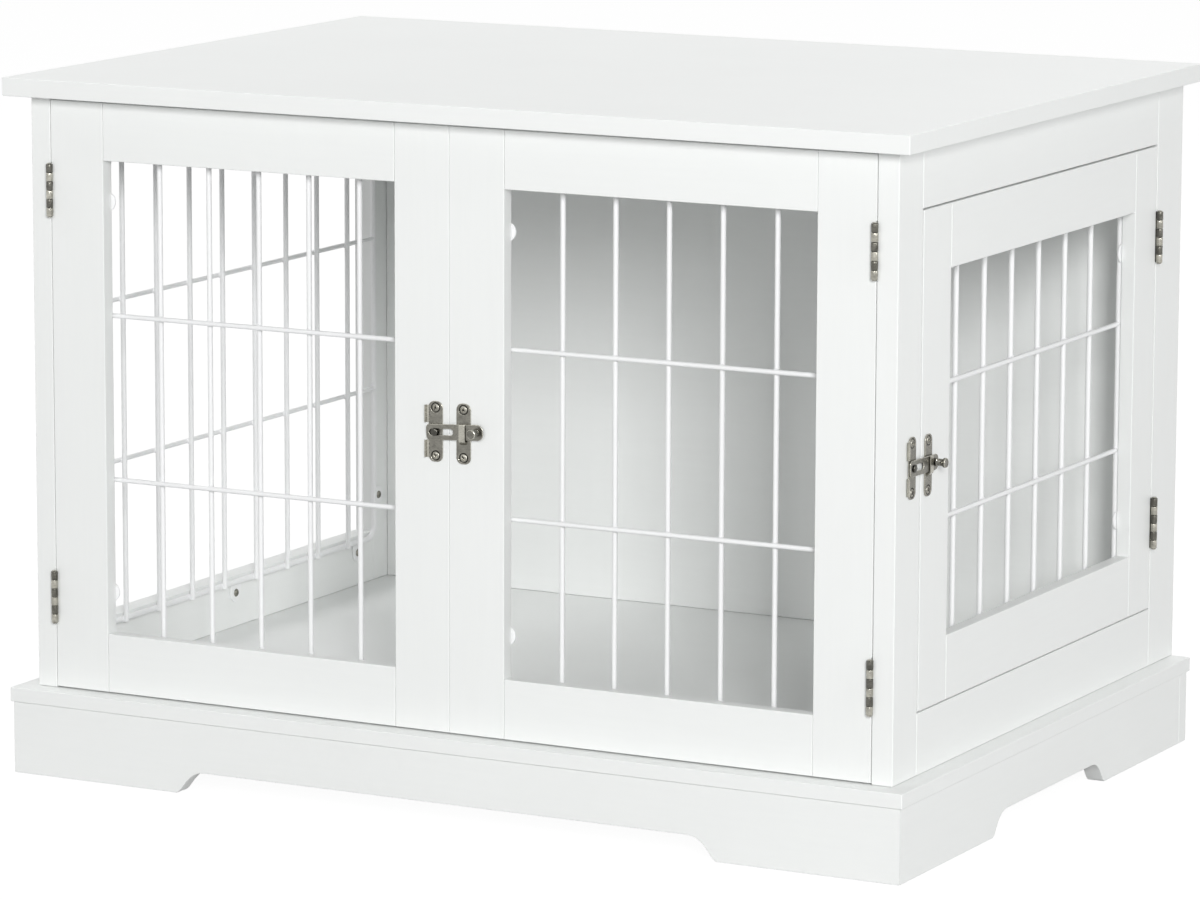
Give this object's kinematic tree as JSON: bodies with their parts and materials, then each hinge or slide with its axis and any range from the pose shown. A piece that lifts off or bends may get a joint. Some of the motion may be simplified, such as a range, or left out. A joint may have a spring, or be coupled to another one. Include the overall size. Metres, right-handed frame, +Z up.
{
  "type": "dog crate end table",
  "caption": "White end table that doubles as a dog crate: barred double doors in front, barred door in the right side, barred left side, solid back and a plinth with shaped feet",
  "frame": {"origin": "on the floor, under the middle of the table top", "axes": "+X to the right along the front, +Y to the back, +Z up; the barred double doors face -Y"},
  "size_m": [0.81, 0.58, 0.577],
  "materials": {
    "painted_wood": "white satin paint",
    "wire": "white powder coat",
    "nickel": "satin nickel plate",
    "bright_nickel": "bright nickel plate"
  },
  "bodies": {
    "carcass": {"tabletop": "painted_wood", "base_plate": "painted_wood", "front_skirt": "painted_wood", "rear_skirt": "painted_wood", "left_skirt": "painted_wood", "right_skirt": "painted_wood", "back_panel": "painted_wood", "left_front_post": "painted_wood", "left_rear_post": "painted_wood", "left_top_rail": "painted_wood", "left_bottom_rail": "painted_wood", "left_side_grille": "wire", "right_front_post": "painted_wood", "right_rear_post": "painted_wood", "right_top_rail": "painted_wood", "right_bottom_rail": "painted_wood", "left_door_upper_hinge_fixed_leaf": "nickel", "left_door_upper_hinge_pin": "nickel", "left_door_lower_hinge_fixed_leaf": "nickel", "left_door_lower_hinge_pin": "nickel", "right_door_upper_hinge_fixed_leaf": "nickel", "right_door_upper_hinge_pin": "nickel", "right_door_lower_hinge_fixed_leaf": "nickel", "right_door_lower_hinge_pin": "nickel", "side_door_upper_hinge_fixed_leaf": "nickel", "side_door_upper_hinge_pin": "nickel", "side_door_lower_hinge_fixed_leaf": "nickel", "side_door_lower_hinge_pin": "nickel", "side_latch_bar_plate": "nickel"},
    "left_front_door": {"left_door_hinge_stile": "painted_wood", "left_door_latch_stile": "painted_wood", "left_door_top_rail": "painted_wood", "left_door_bottom_rail": "painted_wood", "left_door_grille": "wire", "left_door_upper_hinge_door_leaf": "nickel", "left_door_lower_hinge_door_leaf": "nickel", "front_latch_bar_plate": "nickel"},
    "right_front_door": {"right_door_hinge_stile": "painted_wood", "right_door_latch_stile": "painted_wood", "right_door_top_rail": "painted_wood", "right_door_bottom_rail": "painted_wood", "right_door_grille": "wire", "right_door_upper_hinge_door_leaf": "nickel", "right_door_lower_hinge_door_leaf": "nickel", "front_latch_keeper": "nickel"},
    "right_side_door": {"side_door_hinge_stile": "painted_wood", "side_door_latch_stile": "painted_wood", "side_door_top_rail": "painted_wood", "side_door_bottom_rail": "painted_wood", "side_door_grille": "wire", "side_door_upper_hinge_door_leaf": "nickel", "side_door_lower_hinge_door_leaf": "nickel", "side_latch_keeper": "nickel"},
    "front_latch_pivot": {"front_latch_rivet": "bright_nickel"},
    "front_latch_slider": {"front_latch_bar": "nickel", "front_latch_knob": "bright_nickel"},
    "side_latch_pivot": {"side_latch_rivet": "bright_nickel"},
    "side_latch_slider": {"side_latch_bar": "nickel", "side_latch_knob": "bright_nickel"}
  },
  "joints": [
    {"name": "left_front_door_hinge", "type": "hinge", "parent": "carcass", "child": "left_front_door", "pos_m": [-0.3698, -0.2751, 0.3168], "axis": [0, 0, -1], "range_deg": [0, 170]},
    {"name": "right_front_door_hinge", "type": "hinge", "parent": "carcass", "child": "right_front_door", "pos_m": [0.3698, -0.2751, 0.3168], "axis": [0, 0, 1], "range_deg": [0, 170]},
    {"name": "side_door_hinge", "type": "hinge", "parent": "carcass", "child": "right_side_door", "pos_m": [0.3916, 0.236, 0.3176], "axis": [0, 0, 1], "range_deg": [0, 170]},
    {"name": "front_latch_swing", "type": "hinge", "parent": "left_front_door", "child": "front_latch_pivot", "pos_m": [-0.01165, -0.272, 0.3158], "axis": [0, -1, 0], "range_deg": [0, 85]},
    {"name": "front_latch_slide", "type": "slide", "parent": "front_latch_pivot", "child": "front_latch_slider", "axis": [0.9983, 0, 0.0575], "range_m": [-0.006, 0.0025]},
    {"name": "side_latch_swing", "type": "hinge", "parent": "carcass", "child": "side_latch_pivot", "pos_m": [0.3885, -0.2449, 0.3162], "axis": [1, 0, 0], "range_deg": [0, 85]},
    {"name": "side_latch_slide", "type": "slide", "parent": "side_latch_pivot", "child": "side_latch_slider", "axis": [0, 0.9998, -0.0186], "range_m": [-0.0019, 0.0025]}
  ]
}
